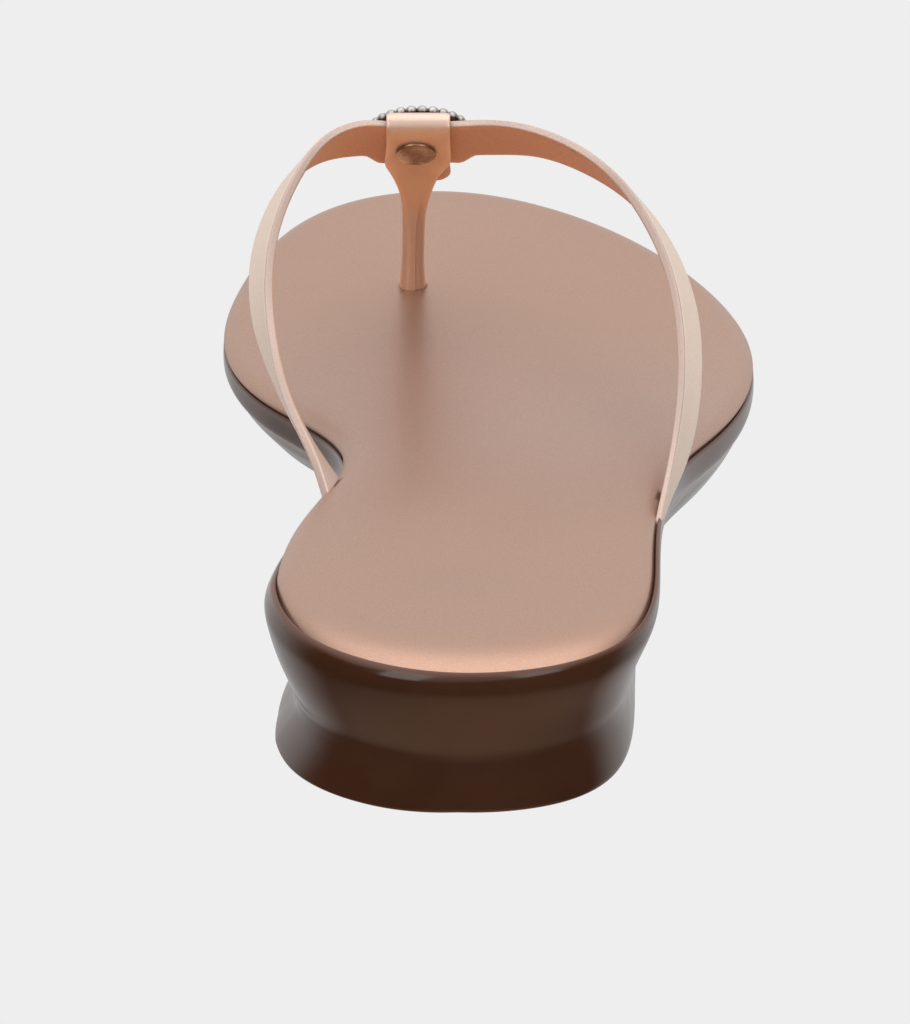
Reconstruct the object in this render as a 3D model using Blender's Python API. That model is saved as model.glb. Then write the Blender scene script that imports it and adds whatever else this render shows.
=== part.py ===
"""Flat toe post sandal for a right foot, standing empty on a floor.

A moulded sole with a low heel holds a padded insole inside its lip. One narrow strap, the upper, runs from
the medial side of the waist over the toes to the lateral side. A toe post of rolled leather comes up through
the insole and folds round the strap's apex. A brass rivet closes the fold and a beaded ornament fronts it.

Shapes are worked out from the back of the insole: x is across (medial is minus), y is along towards the
toes, z is up from the floor. The empty named sandal then carries the pieces to the part's own origin, which
is on the floor under the middle of the sole.
"""
from collections import namedtuple

import bmesh
import bpy
import numpy as np

# Driving dimensions. Sizes are in millimetres, and MM turns them into metres.
MM = 0.001
GAP = 0.3
INSOLE_LENGTH = 235.4
INSOLE_THICKNESS = 4.2
INSOLE_PROUD = 1.2
INSOLE_NOTCH = 2.0
HEEL_SEAT_DISH = 0.8
DISH_FULL = 20.0
DISH_END = 80.0
HEEL_BREAST = 62.0
BREAST_SLOPE = 3.0
ARCH_RISE = 7.2
TREAD_BACK = 146.0
TREAD_FRONT = 203.0
TOE_SPRING = 3.5
STRAP_THICKNESS = 1.5
STRAP_SQUARE = 5.0
TAB_THICKNESS = 1.1
APEX_WIDTH = 9.8
APEX_LEAN = 42.0
POST_SINK = 6.8
RIVET_RADIUS = 3.2
RIVET_HEIGHT = 0.9
RIVET_RIM = 0.25
RIVET_RISE = 0.6
RIVET_ACROSS = -0.6
BEAD_COUNT = 29
BEAD_RADIUS = 0.95
BEAD_WAIST = 0.68
BEAD_RING_RADIUS = 7.85
ORNAMENT_RISE = -4.2

# Faces along and round the pieces
HEEL_STATIONS = 19
FRONT_STATIONS = 38
STRAP_STATIONS = 80
POCKET_STATIONS = 8
POST_STATIONS = 40
BAND_SIDES = 12
POST_SIDES = 14
RIVET_SIDES = 24
FACES_PER_BEAD = 4

# Plan and heights of the sole at sections along the insole. Medial and lateral give the insole's edge,
# lip is the height of the sole's lip beside it, crease the height of the line round the sole's side.
# On the medial side the lip is lower by lip_dip and the crease by crease_dip.
Section = namedtuple("Section", "along medial lateral lip crease lip_dip crease_dip")
HEEL_BACK = Section(0.0, 0.3, 0.3, 23.0, 10.0, 0.0, 0.0)
SECTIONS = (
    Section(5.0, -14.3, 15.6, 23.0, 10.0, 0.0, 0.5),
    Section(16.0, -23.6, 23.6, 23.0, 10.0, 0.0, 1.2),
    Section(34.0, -27.5, 26.8, 22.7, 10.0, 0.3, 1.8),
    Section(60.0, -24.8, 27.6, 21.5, 10.2, 2.3, 1.8),
    Section(84.0, -20.4, 29.3, 18.8, 9.8, 2.2, 1.2),
    Section(106.0, -18.3, 32.8, 15.6, 8.4, 0.7, 0.5),
    Section(124.0, -22.2, 37.8, 13.0, 6.6, 0.0, 0.0),
    Section(142.0, -30.5, 42.1, 11.0, 5.2, 0.0, 0.0),
    Section(172.0, -37.5, 43.7, 9.3, 4.5, 0.0, 0.0),
    Section(200.0, -34.9, 36.2, 9.5, 4.7, 0.0, 0.0),
    Section(220.0, -28.4, 23.3, 10.6, 5.7, 0.0, 0.0),
    Section(230.5, -19.8, 10.8, 11.4, 6.6, 0.0, 0.0),
)
TOE_TIP = Section(INSOLE_LENGTH, -5.0, -5.0, 11.8, 7.0, 0.0, 0.0)

# Profile of the sole's side, from inside the lip down to the tread. Shares run from 0 at the lip to 1 at the
# crease and 2 at the ground. Out is the distance beyond the insole's edge, and at the heel each level is also
# moved across and forward, with its corners further out by square. The heel's values fade into the ball's
# from WAIST_BACK to WAIST_FRONT. Inner is the distance that the level lies further in on the medial side, most
# at the middle of INNER_BACK to INNER_FRONT.
Level = namedtuple("Level", "share_heel share_ball out_heel out_ball across forward square inner")
WALL = (
    Level(0.03, 0.09, GAP, GAP, 0.0, 0.0, 0.0, 0.0),
    Level(0.00, 0.00, 0.65, 0.50, -0.05, 0.0, 0.0, 0.0),
    Level(0.05, 0.12, 1.15, 0.65, -0.45, 0.0, 0.0, 0.1),
    Level(0.14, 0.30, 1.30, 0.72, -0.65, 0.0, 0.0, 0.2),
    Level(0.27, 0.72, 1.10, 0.68, -0.60, 0.0, 0.0, 0.2),
    Level(0.62, 0.90, -0.65, 0.25, -0.80, 0.3, 0.0, 0.5),
    Level(1.00, 1.00, -2.70, -0.15, -0.40, 0.8, 0.2, 0.9),
    Level(1.40, 1.40, -2.90, -1.20, -0.70, 1.7, 0.6, 1.5),
    Level(1.93, 1.85, -1.15, -2.80, -1.65, 3.0, 1.1, 2.4),
    Level(2.00, 2.00, -1.75, -3.50, -1.65, 3.0, 1.1, 2.4),
)
WAIST_BACK = 45.0
WAIST_FRONT = 130.0
INNER_BACK = 27.0
INNER_FRONT = 168.0

# Rounded edge of the insole, from the underside up and over to the top.
Edge = namedtuple("Edge", "inset drop")
INSOLE_EDGE = (
    Edge(0.5, INSOLE_THICKNESS),
    Edge(0.0, 3.7),
    Edge(0.0, 2.0),
    Edge(0.3, 1.2),
    Edge(1.2, 0.55),
    Edge(3.0, 0.12),
    Edge(5.5, 0.0),
)
TOP_COLUMNS = 5

# Route of the strap's middle line from its medial end to its lateral end. Roll turns the outer face from
# upright, at 0, towards lying flat, at 90.
Turn = namedtuple("Turn", "across along height roll width")
STRAP = (
    Turn(-20.8, 78.2, 17.2, -20, 4.6),
    Turn(-21.0, 84.5, 19.1, -22, 6.4),
    Turn(-23.3, 96.0, 21.2, -17, 7.5),
    Turn(-28.2, 114.0, 25.0, -5, 7.5),
    Turn(-31.1, 132.5, 28.9, 13, 7.5),
    Turn(-31.2, 151.5, 32.4, 30, 7.5),
    Turn(-27.8, 169.5, 36.3, 39, 7.5),
    Turn(-21.6, 180.5, 39.3, 39, 7.5),
    Turn(-16.6, 183.9, 39.6, 38, 7.6),
    Turn(-12.8, 185.4, 38.0, 42, 10.4),
    Turn(-7.4, 185.4, 38.0, APEX_LEAN, APEX_WIDTH),
    Turn(-2.0, 185.4, 38.1, 42, 10.2),
    Turn(1.2, 183.8, 39.5, 38, 7.6),
    Turn(9.8, 179.0, 40.4, 39, 7.5),
    Turn(20.0, 171.0, 38.8, 39, 7.5),
    Turn(29.0, 152.0, 35.4, 38, 7.5),
    Turn(33.1, 131.0, 31.3, 32, 7.5),
    Turn(33.4, 109.0, 26.2, 20, 7.5),
    Turn(31.0, 87.0, 22.9, 4, 7.5),
    Turn(28.3, 72.0, 21.7, -14, 6.6),
    Turn(26.8, 60.2, 20.0, -18, 4.6),
)
APEX = STRAP[10]

# The toe post from the end in the sole up to the strap. Square is the exponent of its section: 2 is oval.
Post = namedtuple("Post", "across along height width thickness square")
POST_FOOT = Post(-8.5, 195.6, 10.5, 4.3, 4.0, 2.2)
POST = (
    POST_FOOT._replace(height=POST_FOOT.height - POST_SINK),
    POST_FOOT,
    Post(-8.5, 195.5, 13.0, 4.0, 3.8, 2.2),
    Post(-8.4, 194.9, 18.5, 3.7, 3.4, 2.2),
    Post(-8.3, 193.6, 23.0, 3.9, 3.0, 2.3),
    Post(-8.1, 191.6, 27.3, 5.3, 2.3, 2.6),
)

# The tab above the post, as it folds round the strap's apex: rise is up along the strap's width from the
# apex, out is towards the toes across its thickness, and across is from the apex towards the lateral side.
Fold = namedtuple("Fold", "rise out across width square")
LAYER = STRAP_THICKNESS / 2 + GAP + TAB_THICKNESS / 2
STRAP_TOP = APEX_WIDTH / 2
TAB = (
    Fold(-7.2, -LAYER, -0.6, 8.2, 3.5),
    Fold(-4.6, -LAYER, -0.4, 10.0, 5.0),
    Fold(0.0, -LAYER, -0.2, 10.2, 6.0),
    Fold(STRAP_TOP, -LAYER, -0.2, 10.0, 6.0),
    Fold(STRAP_TOP + LAYER * 0.71, -LAYER * 0.71, -0.2, 10.0, 6.0),
    Fold(STRAP_TOP + LAYER, 0.0, -0.2, 10.0, 6.0),
    Fold(STRAP_TOP + LAYER * 0.71, LAYER * 0.71, -0.2, 10.0, 6.0),
    Fold(STRAP_TOP, LAYER, -0.2, 10.0, 6.0),
    Fold(0.0, LAYER, -0.1, 10.0, 6.0),
    Fold(-3.5, LAYER, 0.0, 10.0, 6.0),
    Fold(-6.6, LAYER, 0.1, 10.0, 6.0),
    Fold(-9.4, LAYER * 0.4, 0.4, 9.2, 5.0),
    Fold(-11.4, -LAYER * 0.2, 0.6, 8.0, 5.0),
)

# Turned profile of the ornament from the bead ring in to its domed middle: radius and height over the back.
Ring = namedtuple("Ring", "radius height")
BEAD_HEIGHT = 0.9
DOME = (Ring(5.9, 0.9), Ring(5.2, 1.7), Ring(3.4, 2.4), Ring(1.5, 2.7))
BEAD_ANGLES = (-65, -20, 25, 70, 115, 165)

# Colours from the photograph, linear red, green and blue, with roughness and metallic value.
Finish = namedtuple("Finish", "colour roughness metallic")
FINISHES = {
    "sole": Finish((0.040, 0.018, 0.010), 0.16, 0.0),
    "insole": Finish((0.46, 0.29, 0.21), 0.42, 0.7),
    "strap": Finish((0.70, 0.54, 0.44), 0.38, 0.4),
    "toe_post": Finish((0.50, 0.24, 0.14), 0.38, 0.5),
    "rivet": Finish((0.36, 0.24, 0.13), 0.30, 1.0),
    "ornament": Finish((0.45, 0.42, 0.38), 0.30, 1.0),
}


def smooth(value):
    """Ease from 0 to 1, flat at both ends."""
    value = np.clip(value, 0.0, 1.0)
    return value * value * (3.0 - 2.0 * value)


def spline(knots, rows, at):
    """Natural cubic curve through the rows at increasing knots, read at the places given."""
    knots = np.asarray(knots, float)
    rows = np.asarray(rows, float)
    step = np.diff(knots)
    slope = np.diff(rows, axis=0) / step[:, None]
    matrix = np.eye(len(knots))
    for i in range(1, len(knots) - 1):
        matrix[i, i - 1:i + 2] = step[i - 1], 2.0 * (step[i - 1] + step[i]), step[i]
    pull = np.zeros_like(rows)
    pull[1:-1] = 6.0 * np.diff(slope, axis=0)
    bend = np.linalg.solve(matrix, pull)
    i = np.clip(np.searchsorted(knots, at, side="right") - 1, 0, len(knots) - 2)
    u = (at - knots[i])[:, None]
    h = step[i][:, None]
    first = slope[i] - h * (2.0 * bend[i] + bend[i + 1]) / 6.0
    return rows[i] + u * (first + u * (bend[i] / 2.0 + u * (bend[i + 1] - bend[i]) / (6.0 * h)))


def path_spline(rows, points, count):
    """Read the table's rows as one curve, at count places evenly spaced along its length."""
    knots = np.append(0.0, np.cumsum(np.linalg.norm(np.diff(points, axis=0), axis=1)))
    return spline(knots, rows, np.linspace(0.0, knots[-1], count))


def turn_of(along):
    """Angle round the plan, 0 at the heel's back and pi at the toe's tip, of a place along the insole."""
    return np.arccos(1.0 - 2.0 * np.asarray(along) / INSOLE_LENGTH)


def outline(turn):
    """Insole edge, lip and crease heights and their dips round the plan: medial side at positive angles."""
    side_turn = turn_of([row.along for row in SECTIONS])
    medial = [(row.medial, *row[3:]) for row in SECTIONS]
    lateral = [(row.lateral, row.lip, row.crease, 0.0, 0.0) for row in SECTIONS]
    heel = [(HEEL_BACK.medial, *HEEL_BACK[3:])]
    toe = [(TOE_TIP.medial, *TOE_TIP[3:])]
    once = np.concatenate([-side_turn[::-1], [0.0], side_turn, [np.pi]])
    rows = np.array(lateral[::-1] + heel + medial + toe)
    knots = np.concatenate([once - 2.0 * np.pi, once, once + 2.0 * np.pi])
    edge, *heights = spline(knots, np.concatenate([rows, rows, rows]), turn).T
    along = INSOLE_LENGTH * (1.0 - np.cos(turn)) / 2.0
    return np.stack([edge, along], axis=1), heights


def perimeter():
    """The plan's stations, as a dictionary of arrays that run heel, medial side, toe, lateral side."""
    heel = np.linspace(0.0, turn_of(HEEL_BREAST), HEEL_STATIONS)
    front = np.linspace(turn_of(HEEL_BREAST + BREAST_SLOPE), np.pi, FRONT_STATIONS)
    stations = np.concatenate([heel, front])
    turn = np.concatenate([stations, -stations[-2:0:-1]])
    plan, (seat, crease, lip_dip, crease_dip) = outline(turn)
    tangent = outline(turn + 1e-3)[0] - outline(turn - 1e-3)[0]
    tangent /= np.linalg.norm(tangent, axis=1)[:, None]
    outward = np.stack([-tangent[:, 1], tangent[:, 0]], axis=1)
    along = plan[:, 1]
    arch = ARCH_RISE * smooth((TREAD_BACK - along) / (TREAD_BACK - HEEL_BREAST - BREAST_SLOPE))
    spring = TOE_SPRING * smooth((along - TREAD_FRONT) / (INSOLE_LENGTH - TREAD_FRONT))
    inner = np.clip((along - INNER_BACK) / (INNER_FRONT - INNER_BACK), 0.0, 1.0)
    return {
        "plan": plan,
        "outward": outward,
        "seat": seat,
        "lip": seat - lip_dip,
        "crease": crease - crease_dip,
        "ground": np.where(along <= HEEL_BREAST + 0.01, 0.0, arch + spring),
        "heel": 1.0 - smooth((along - WAIST_BACK) / (WAIST_FRONT - WAIST_BACK)),
        "corner": np.abs(2.0 * outward[:, 0] * outward[:, 1]),
        "inner": np.where(turn > 0.0, np.sin(np.pi * inner), 0.0),
    }


def plan_ring(edge, out, height):
    """One ring of points at a distance beyond the insole's edge and a height."""
    plan = edge["plan"] + edge["outward"] * np.reshape(out, (-1, 1))
    return np.column_stack([plan, np.broadcast_to(height, len(plan))])


def wall_ring(edge, level):
    """One level of the sole's side."""
    heel = edge["heel"]
    share = level.share_heel * heel + level.share_ball * (1.0 - heel)
    upper = edge["lip"] + (edge["crease"] - edge["lip"]) * share
    lower = edge["crease"] + (edge["ground"] - edge["crease"]) * (share - 1.0)
    out_heel = level.out_heel + level.square * edge["corner"]
    out = out_heel * heel + level.out_ball * (1.0 - heel) - level.inner * edge["inner"]
    ring = plan_ring(edge, out, np.where(share < 1.0, upper, lower))
    ring[:, 0] += level.across * heel
    ring[:, 1] += level.forward * heel
    return ring


def ladder(mesh, ring, columns=1, height_of=None):
    """Close a plan ring with strips from its medial to its lateral side. Inner points take height_of."""
    half = len(ring) // 2
    rows = [[ring[0]] * (columns + 1)]
    for k in range(1, half):
        medial, lateral = ring[k], ring[-k]
        row = [medial]
        for c in range(1, columns):
            point = medial.co.lerp(lateral.co, c / columns)
            point.z += height_of(point, c / columns)
            row.append(mesh.verts.new(point))
        rows.append(row + [lateral])
    rows.append([ring[half]] * (columns + 1))
    for near, far in zip(rows, rows[1:]):
        for c in range(columns):
            corners = dict.fromkeys((near[c], near[c + 1], far[c + 1], far[c]))
            if len(corners) > 2:
                mesh.faces.new(corners)


def skin(mesh, rings):
    """Join neighbouring rings of equal length with quads and return their vertices."""
    rings = [[mesh.verts.new(point * MM) for point in ring] for ring in rings]
    for lower, upper in zip(rings, rings[1:]):
        for i in range(len(lower)):
            mesh.faces.new((lower[i - 1], lower[i], upper[i], upper[i - 1]))
    return rings


def finish_mesh(mesh, name, sharp_degrees=40.0):
    """Turn a bmesh into a smooth-shaded object with its own material, under the sandal's empty."""
    bmesh.ops.recalc_face_normals(mesh, faces=mesh.faces)
    data = bpy.data.meshes.new(name)
    mesh.to_mesh(data)
    mesh.free()
    data.shade_smooth()
    data.set_sharp_from_angle(angle=np.radians(sharp_degrees))
    piece = bpy.data.objects.new(name, data)
    bpy.context.scene.collection.objects.link(piece)
    piece.parent = bpy.data.objects["sandal"]
    if name in FINISHES:
        data.materials.append(make_material(name, FINISHES[name]))
    return piece


def make_material(name, finish):
    """A Principled material with one colour."""
    material = bpy.data.materials.new(name)
    material.use_nodes = True
    shader = material.node_tree.nodes["Principled BSDF"]
    shader.inputs["Base Color"].default_value = (*finish.colour, 1.0)
    shader.inputs["Roughness"].default_value = finish.roughness
    shader.inputs["Metallic"].default_value = finish.metallic
    return material


def make_sole(edge):
    """The moulded unit: the floor under the insole, the lip, the side and the tread in one closed skin."""
    mesh = bmesh.new()
    floor = plan_ring(edge, GAP, edge["seat"] + INSOLE_PROUD - INSOLE_THICKNESS - GAP)
    rings = skin(mesh, [floor] + [wall_ring(edge, level) for level in WALL])
    ladder(mesh, rings[0])
    ladder(mesh, rings[-1])
    return finish_mesh(mesh, "sole", 28.0)


def make_insole(edge):
    """The padded insole, dished a little under the heel."""
    mesh = bmesh.new()
    top = edge["seat"] + INSOLE_PROUD
    rings = skin(mesh, [plan_ring(edge, -row.inset, top - row.drop) for row in INSOLE_EDGE])

    def dish(point, share):
        heel = 1.0 - smooth((point.y / MM - DISH_FULL) / (DISH_END - DISH_FULL))
        return -HEEL_SEAT_DISH * MM * heel * np.sin(np.pi * share)

    ladder(mesh, rings[0])
    ladder(mesh, rings[-1], TOP_COLUMNS, dish)
    return finish_mesh(mesh, "insole")


def section_ring(middle, across, through, width, thickness, square, sides):
    """Points of a rounded section: width along one direction, thickness along the other."""
    angle = 2.0 * np.pi * (np.arange(sides) + 0.5) / sides
    cosine, sine = np.cos(angle), np.sin(angle)
    wide = np.sign(cosine) * np.abs(cosine) ** (2.0 / square) * width / 2.0
    deep = np.sign(sine) * np.abs(sine) ** (2.0 / square) * thickness / 2.0
    return middle + wide[:, None] * across + deep[:, None] * through


def strap_rings(grow=0.0, outward=0.0):
    """Sections of the strap on its route. A pocket's are larger by grow all round and by outward outside."""
    table = np.array(STRAP)
    route = path_spline(table, table[:, :3], STRAP_STATIONS)
    tangent = np.gradient(route[:, :3], axis=0)
    tangent /= np.linalg.norm(tangent, axis=1)[:, None]
    left = np.stack([-tangent[:, 1], tangent[:, 0], np.zeros(STRAP_STATIONS)], axis=1)
    left /= np.linalg.norm(left, axis=1)[:, None]
    upward = np.cross(tangent, left)
    roll = np.radians(route[:, 3])[:, None]
    outer = np.cos(roll) * left + np.sin(roll) * upward
    broad = np.cross(outer, tangent)
    rings = []
    for row, through, across in zip(route, outer, broad):
        middle = row[:3] + through * outward / 2.0
        wide, thick = row[4] + 2.0 * grow, STRAP_THICKNESS + 2.0 * grow + outward
        rings.append(section_ring(middle, across, through, wide, thick, STRAP_SQUARE, BAND_SIDES))
    return rings


def make_tube(rings, name):
    """A closed loft with flat ends."""
    mesh = bmesh.new()
    skinned = skin(mesh, rings)
    mesh.faces.new(skinned[0])
    mesh.faces.new(skinned[-1])
    return finish_mesh(mesh, name, 50.0)


def apex_frame():
    """The strap's apex: its middle, up along its width and out through its outer face."""
    lean = np.radians(APEX_LEAN)
    middle = np.array([APEX.across, APEX.along, APEX.height])
    out = np.array([0.0, np.cos(lean), np.sin(lean)])
    rise = np.array([0.0, -np.sin(lean), np.cos(lean)])
    return middle, rise, out


def post_rings():
    """Sections of the toe post from its foot up, and of the tab round the strap."""
    middle, rise, out = apex_frame()
    rows = [tuple(row) for row in POST]
    for fold in TAB:
        place = middle + fold.rise * rise + fold.out * out
        rows.append((place[0] + fold.across, place[1], place[2], fold.width, TAB_THICKNESS, fold.square))
    table = np.array(rows)
    route = path_spline(table, table[:, :3], POST_STATIONS)
    tangent = np.gradient(route[:, :3], axis=0)
    tangent[:, 0] = 0.0
    tangent /= np.linalg.norm(tangent, axis=1)[:, None]
    across = np.array([1.0, 0.0, 0.0])
    rings = []
    for row, direction in zip(route, tangent):
        through = np.cross(across, direction)
        rings.append(section_ring(row[:3], across, through, row[3], row[4], row[5], POST_SIDES))
    return rings


def turned_rings(profile, sides, rise_at, out_at, across_at=0.0):
    """Rings of a round piece on the apex: each profile entry gives a radius and a height for every angle."""
    middle, rise, out = apex_frame()
    across = np.array([1.0, 0.0, 0.0])
    angle = 2.0 * np.pi * np.arange(sides) / sides
    spoke = np.cos(angle)[:, None] * across + np.sin(angle)[:, None] * rise
    seat = middle + across_at * across + rise_at * rise + out_at * out
    rings = []
    for radius, height in profile:
        far = np.broadcast_to(radius, sides)[:, None] * spoke
        rings.append(seat + far + np.broadcast_to(height, sides)[:, None] * out)
    return rings


def make_rivet():
    """The domed cap on the tab's foot side."""
    seat = -(LAYER + TAB_THICKNESS / 2.0 + GAP)
    slope = np.radians((0.0, 30.0, 60.0, 80.0))
    profile = [(RIVET_RADIUS * np.cos(a), -RIVET_RIM - (RIVET_HEIGHT - RIVET_RIM) * np.sin(a)) for a in slope]
    rings = turned_rings([(RIVET_RADIUS, 0.0)] + profile, RIVET_SIDES, RIVET_RISE, seat, RIVET_ACROSS)
    return make_tube(rings, "rivet")


def make_ornament():
    """The beaded medallion: a ring that swells into beads round a low dome."""
    seat = LAYER + TAB_THICKNESS / 2.0 + GAP
    sides = BEAD_COUNT * FACES_PER_BEAD
    swell = np.abs(np.cos(np.pi * np.arange(sides) / FACES_PER_BEAD))
    bead = BEAD_RADIUS * (BEAD_WAIST + (1.0 - BEAD_WAIST) * swell)
    profile = [(BEAD_RING_RADIUS - BEAD_RADIUS / 2.0, 0.0)]
    for degrees in BEAD_ANGLES:
        a = np.radians(degrees)
        profile.append((BEAD_RING_RADIUS + bead * np.cos(a), BEAD_HEIGHT + bead * np.sin(a)))
    profile += [tuple(ring) for ring in DOME]
    return make_tube(turned_rings(profile, sides, ORNAMENT_RISE, seat), "ornament")


def cut(piece, cutter):
    """Take the cutter's shape out of the piece."""
    cutter.hide_render = True
    cutter.display_type = "WIRE"
    pocket = piece.modifiers.new(cutter.name, "BOOLEAN")
    pocket.operation = "DIFFERENCE"
    pocket.object = cutter


def cut_pockets(piece, outward):
    """Cut the strap's two ends and the toe post's foot out of a piece, with clearance all round."""
    route = strap_rings(GAP, outward)
    for side, rings in (("medial", route), ("lateral", route[::-1])):
        rings = rings[:POCKET_STATIONS]
        step = np.mean(rings[1] - rings[0], axis=0)
        rings = [rings[0] - step * GAP / np.linalg.norm(step)] + rings
        cut(piece, make_tube(rings, f"{piece.name}_{side}_pocket"))
    foot, top = POST[0], POST[2]
    upright = np.eye(3)
    rings = []
    for height in (foot.height - GAP, top.height):
        middle = np.array([foot.across, foot.along, height])
        wide, thick = foot.width + 2.0 * GAP, foot.thickness + 2.0 * GAP
        rings.append(section_ring(middle, upright[0], upright[1], wide, thick, foot.square, POST_SIDES))
    cut(piece, make_tube(rings, f"{piece.name}_post_pocket"))


def build():
    """Make every piece under an empty that carries the sandal to its origin."""
    for leftover in list(bpy.data.objects):
        bpy.data.objects.remove(leftover)
    edge = perimeter()
    rim = np.concatenate([wall_ring(edge, level) for level in WALL])
    centre = (rim.min(axis=0) + rim.max(axis=0)) / 2.0
    sandal = bpy.data.objects.new("sandal", None)
    sandal.location = (-centre[0] * MM, -centre[1] * MM, 0.0)
    bpy.context.scene.collection.objects.link(sandal)
    sole = make_sole(edge)
    insole = make_insole(edge)
    make_tube(strap_rings(), "strap")
    make_tube(post_rings(), "toe_post")
    make_rivet()
    make_ornament()
    cut_pockets(sole, 0.0)
    cut_pockets(insole, INSOLE_NOTCH)


build()
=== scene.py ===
"""A right toe post sandal, dressed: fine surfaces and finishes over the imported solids."""

import bpy
import numpy as np
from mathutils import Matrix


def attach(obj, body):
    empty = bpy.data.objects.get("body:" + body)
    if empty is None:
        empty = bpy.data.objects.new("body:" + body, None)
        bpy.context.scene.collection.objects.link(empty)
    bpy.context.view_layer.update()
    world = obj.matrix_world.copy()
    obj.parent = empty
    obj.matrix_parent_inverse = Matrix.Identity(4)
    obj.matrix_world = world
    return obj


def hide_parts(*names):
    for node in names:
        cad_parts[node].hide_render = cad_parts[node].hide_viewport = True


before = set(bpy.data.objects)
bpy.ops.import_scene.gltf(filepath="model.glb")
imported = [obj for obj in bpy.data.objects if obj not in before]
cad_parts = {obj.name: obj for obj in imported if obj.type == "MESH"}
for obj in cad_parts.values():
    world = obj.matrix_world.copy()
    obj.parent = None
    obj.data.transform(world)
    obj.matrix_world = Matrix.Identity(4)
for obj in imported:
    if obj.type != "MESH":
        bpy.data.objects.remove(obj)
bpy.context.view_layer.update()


# Stage. The sandal stands on a plain pale sweep that glows evenly, so no shadow lies on it. A long lens looks
# along it from behind the heel, between two tall soft boxes. The room is pale ahead, brightest overhead, half
# as bright behind the camera and dim low down, with a warm glow from below.
SWEEP_TONE, SWEEP_HALF = 0.855, 4.0
LENS, SENSOR, CAMERA_REACH = 356.72, 36.0, 20.0
CAMERA_PLACE = (-0.0050745, -1.439871, 0.562204)
CAMERA_DOWN = 21.2617
ROOM_DIM = 0.05
ROOM_AHEAD, ROOM_AHEAD_LOW = 0.9, 0.6
ROOM_ABOVE, ROOM_ABOVE_NEAR = 2.2, 0.3
ROOM_BEHIND = 0.55
ROOM_BELOW, ROOM_BELOW_TINT = 0.55, (1.0, 0.70, 0.50)
SOFT_BOX_WIDTH, SOFT_BOX_HEIGHT = 0.7, 1.1
SOFT_BOXES = {
    "soft_box_left": ((-0.851, -0.945, 0.795), 4.2),
    "soft_box_right": ((0.851, -0.945, 0.795), 3.8),
}

# Where each glow of the room starts and ends, by how far the way looks ahead or up.
AHEAD, AHEAD_UP = (0.15, 0.7), (-0.45, 0.1)
ABOVE, ABOVE_AHEAD = (0.45, 0.90), (-0.5, 0.0)
BEHIND, BEHIND_UP = (-0.65, -0.2), (0.1, 0.45)
BELOW, WARM_BELOW = (-0.98, -0.6), (-0.95, -0.5)


def feed(tree, socket, value):
    """Give an input a value, or a link from another node's socket."""
    if isinstance(value, bpy.types.NodeSocket):
        tree.links.new(value, socket)
    else:
        socket.default_value = value


def node(tree, kind, *ordered, **named):
    """Add a shader node. An input, by order or by name, is a value to set or a socket to link."""
    made = tree.nodes.new("ShaderNode" + kind)
    for socket, value in zip(made.inputs, ordered):
        feed(tree, socket, value)
    for name, value in named.items():
        feed(tree, made.inputs[name.replace("_", " ")], value)
    return made


def math(tree, operation, *values):
    """One arithmetic step on values or sockets, as a socket."""
    made = node(tree, "Math", *values)
    made.operation = operation
    return made.outputs[0]


def ranged(tree, value, low, high, to_low=0.0, to_high=1.0):
    """Ease from to_low, at low, to to_high, at high, as a socket."""
    made = tree.nodes.new("ShaderNodeMapRange")
    made.interpolation_type = "SMOOTHSTEP"
    tree.links.new(value, made.inputs["Value"])
    for name, number in zip(("From Min", "From Max", "To Min", "To Max"), (low, high, to_low, to_high)):
        made.inputs[name].default_value = number
    return made.outputs["Result"]


def tinted(tree, factor, plain, tint):
    """A colour between plain and tint, each a colour or a socket, as a socket.

    A mix node takes its colours at inputs 6 and 7 and gives one at output 2.
    """
    made = tree.nodes.new("ShaderNodeMix")
    made.data_type = "RGBA"
    feed(tree, made.inputs[0], factor)
    for socket, colour in ((made.inputs[6], plain), (made.inputs[7], tint)):
        feed(tree, socket, colour if isinstance(colour, bpy.types.NodeSocket) else (*colour, 1.0))
    return made.outputs[2]


bpy.context.scene.view_settings.view_transform = "Standard"
world = bpy.data.worlds.new("room")
bpy.context.scene.world = world
world.use_nodes = True
room = world.node_tree
way = node(room, "SeparateXYZ", node(room, "TexCoord").outputs["Generated"])
ahead, up = way.outputs["Y"], way.outputs["Z"]
front = ranged(room, ahead, *AHEAD, ROOM_DIM, ROOM_AHEAD)
front = math(room, "MULTIPLY", front, ranged(room, up, *AHEAD_UP, ROOM_AHEAD_LOW, 1.0))
above = ranged(room, up, *ABOVE, ROOM_DIM, ROOM_ABOVE)
above = math(room, "MULTIPLY", above, ranged(room, ahead, *ABOVE_AHEAD, ROOM_ABOVE_NEAR, 1.0))
below = ranged(room, up, *BELOW, ROOM_BELOW, ROOM_DIM)
behind = ranged(room, ahead, *BEHIND, ROOM_BEHIND, ROOM_DIM)
behind = math(room, "MULTIPLY", behind, ranged(room, up, *BEHIND_UP))
glow = math(room, "MAXIMUM", math(room, "MAXIMUM", front, above), math(room, "MAXIMUM", below, behind))
seen = node(room, "LightPath").outputs["Is Camera Ray"]
backdrop = node(room, "Mix", Factor=seen, A=glow, B=SWEEP_TONE)
warmth = tinted(room, ranged(room, up, *WARM_BELOW, 1.0, 0.0), (1.0, 1.0, 1.0), ROOM_BELOW_TINT)
room.links.new(warmth, room.nodes["Background"].inputs["Color"])
room.links.new(backdrop.outputs[0], room.nodes["Background"].inputs["Strength"])

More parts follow.
